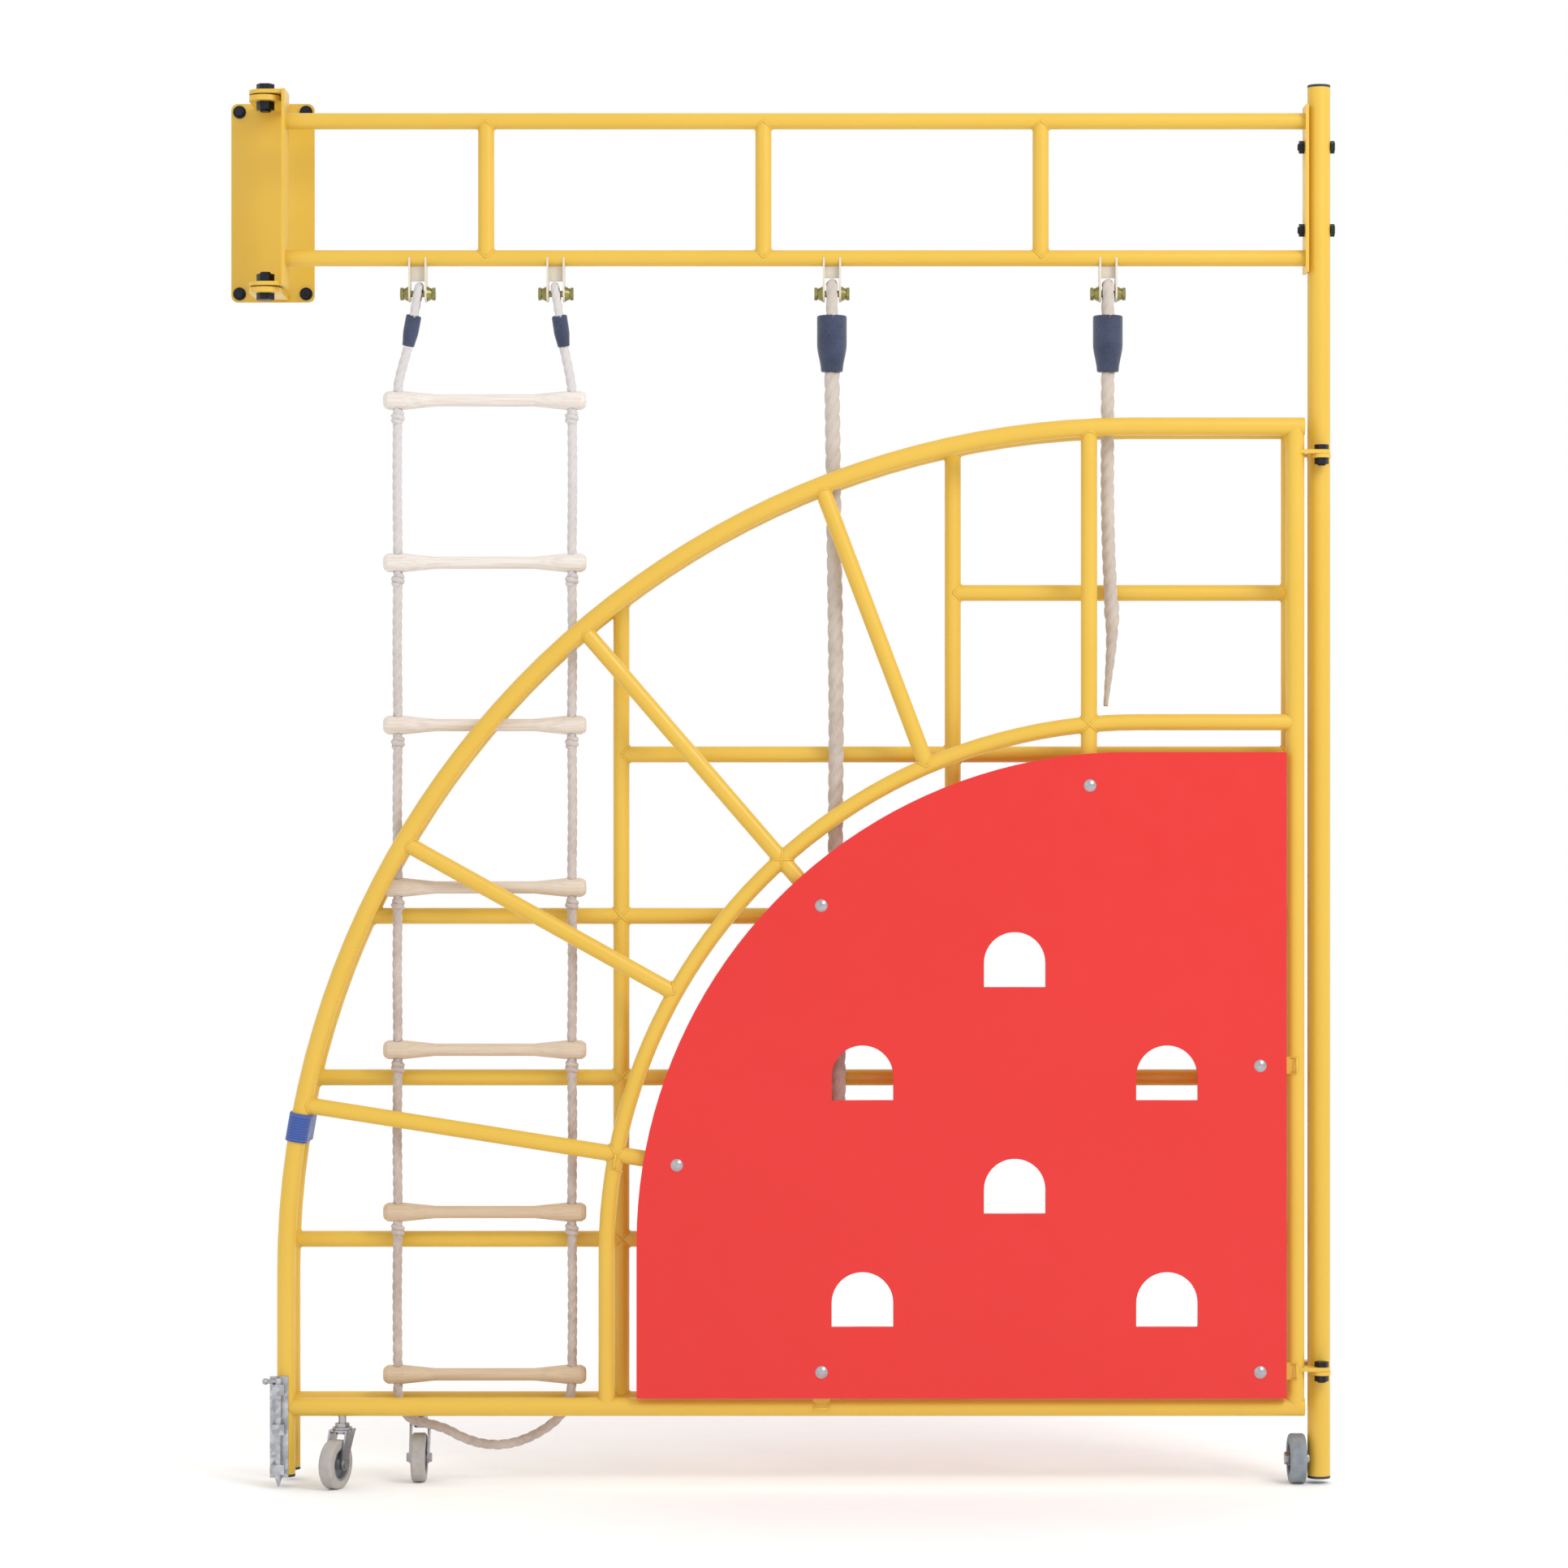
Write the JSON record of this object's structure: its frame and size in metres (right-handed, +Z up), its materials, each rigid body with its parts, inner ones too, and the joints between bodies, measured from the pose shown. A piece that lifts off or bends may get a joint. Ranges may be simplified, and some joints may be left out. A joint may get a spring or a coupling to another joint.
{
  "type": "folding wall climbing frame",
  "caption": "Wall-hung folding climbing frame: a swinging beam and post with two quarter-arc climbing leaves, a foothold panel, a rope ladder and climbing ropes.",
  "frame": {"origin": "centre of the four wall anchors, on the back face of the wall plate", "axes": "+X along the folded beam from the bracket to the post, +Y into the wall, +Z up"},
  "size_m": [1.7115, 0.252, 2.1538],
  "materials": {
    "yellow_tube": "semi-gloss powder coat",
    "dark_fastener": "black oxide",
    "black_cap": "matt",
    "thrust_washer": "satin",
    "hanger_steel": "satin",
    "yellow_zinc": "yellow passivated",
    "zinc_steel": "galvanised",
    "wheel_rim": "moulded",
    "post_tyre": "matt",
    "castor_tyre": "matt",
    "twisted_rope": "three-strand",
    "navy_whipping": "tightly bound",
    "turned_wood": "waxed",
    "red_panel": "satin",
    "blue_webbing": "woven"
  },
  "bodies": {
    "wall_bracket": {"wall_plate": "yellow_tube", "pivot_ears": "yellow_tube", "anchor_bolts": "dark_fastener", "pivot_bolts": "dark_fastener", "pivot_nuts": "dark_fastener", "thrust_washers": "thrust_washer"},
    "swing_frame": {"pivot_plate": "yellow_tube", "pivot_lugs": "yellow_tube", "beam_rails": "yellow_tube", "beam_struts": "yellow_tube", "post_plate": "yellow_tube", "beam_bolts": "dark_fastener", "post": "yellow_tube", "post_caps": "black_cap", "post_ears": "yellow_tube", "hinge_bolts": "dark_fastener", "hinge_nuts": "dark_fastener", "hanger_cheeks": "hanger_steel", "hanger_bolts": "yellow_zinc", "hanger_nuts": "yellow_zinc", "wheel_axle": "zinc_steel", "ladder_rope": "twisted_rope", "ladder_rungs": "turned_wood", "ladder_knots": "twisted_rope", "rope_eyes": "twisted_rope", "rope_wraps": "navy_whipping", "climbing_rope": "twisted_rope", "tapered_rope": "twisted_rope"},
    "post_roller": {"post_wheel_hub": "wheel_rim", "post_wheel_tyre": "post_tyre"},
    "front_leaf": {"front_outer_tube": "yellow_tube", "front_inner_tube": "yellow_tube", "front_hinge_tube": "yellow_tube", "front_bottom_rail": "yellow_tube", "front_spokes": "yellow_tube", "panel_stubs": "yellow_tube", "climbing_panel": "red_panel", "panel_bolts": "zinc_steel", "front_ears": "yellow_tube", "front_foot_plug": "black_cap", "tie_strap": "blue_webbing", "floor_bolt_body": "zinc_steel", "castor_a_stem": "zinc_steel"},
    "floor_bolt": {"floor_bolt_rod": "zinc_steel"},
    "castor_a_swivel": {"castor_a_fork": "zinc_steel", "castor_a_axle": "zinc_steel"},
    "castor_a_roller": {"castor_a_wheel": "wheel_rim", "castor_a_tyre": "castor_tyre"},
    "back_leaf": {"back_outer_tube": "yellow_tube", "back_hinge_tube": "yellow_tube", "back_bottom_rail": "yellow_tube", "back_uprights": "yellow_tube", "back_rungs": "yellow_tube", "back_ears": "yellow_tube", "back_foot_plug": "black_cap", "castor_b_stem": "zinc_steel"},
    "castor_b_swivel": {"castor_b_fork": "zinc_steel", "castor_b_axle": "zinc_steel"},
    "castor_b_roller": {"castor_b_wheel": "wheel_rim", "castor_b_tyre": "castor_tyre"}
  },
  "joints": [
    {"name": "beam_swing", "type": "hinge", "parent": "wall_bracket", "child": "swing_frame", "pos_m": [0, -0.1, 0.003], "axis": [0, 0, -1], "range_deg": [0, 180]},
    {"name": "front_leaf_swing", "type": "hinge", "parent": "swing_frame", "child": "front_leaf", "pos_m": [1.6225, -0.134, -1.104], "axis": [0, 0, 1], "range_deg": [0, 180]},
    {"name": "back_leaf_swing", "type": "hinge", "parent": "swing_frame", "child": "back_leaf", "pos_m": [1.6225, -0.066, -1.104], "axis": [0, 0, -1], "range_deg": [0, 180]},
    {"name": "post_wheel_roll", "type": "hinge", "parent": "swing_frame", "child": "post_roller", "pos_m": [1.5885, -0.1, -1.946], "axis": [1, 0, 0], "continuous": true},
    {"name": "floor_bolt_slide", "type": "slide", "parent": "front_leaf", "child": "floor_bolt", "axis": [0, 0, 1], "range_m": [0, 0.022]},
    {"name": "castor_a_turn", "type": "hinge", "parent": "front_leaf", "child": "castor_a_swivel", "pos_m": [0.122, -0.134, -1.898], "axis": [0, 0, 1], "continuous": true},
    {"name": "castor_a_roll", "type": "hinge", "parent": "castor_a_swivel", "child": "castor_a_roller", "pos_m": [0.11376, -0.1544, -1.9465], "axis": [0.9272, -0.3746, 0], "continuous": true},
    {"name": "castor_b_turn", "type": "hinge", "parent": "back_leaf", "child": "castor_b_swivel", "pos_m": [0.236, -0.066, -1.898], "axis": [0, 0, 1], "continuous": true},
    {"name": "castor_b_roll", "type": "hinge", "parent": "castor_b_swivel", "child": "castor_b_roller", "pos_m": [0.236, -0.088, -1.9465], "axis": [1, 0, 0], "continuous": true}
  ]
}
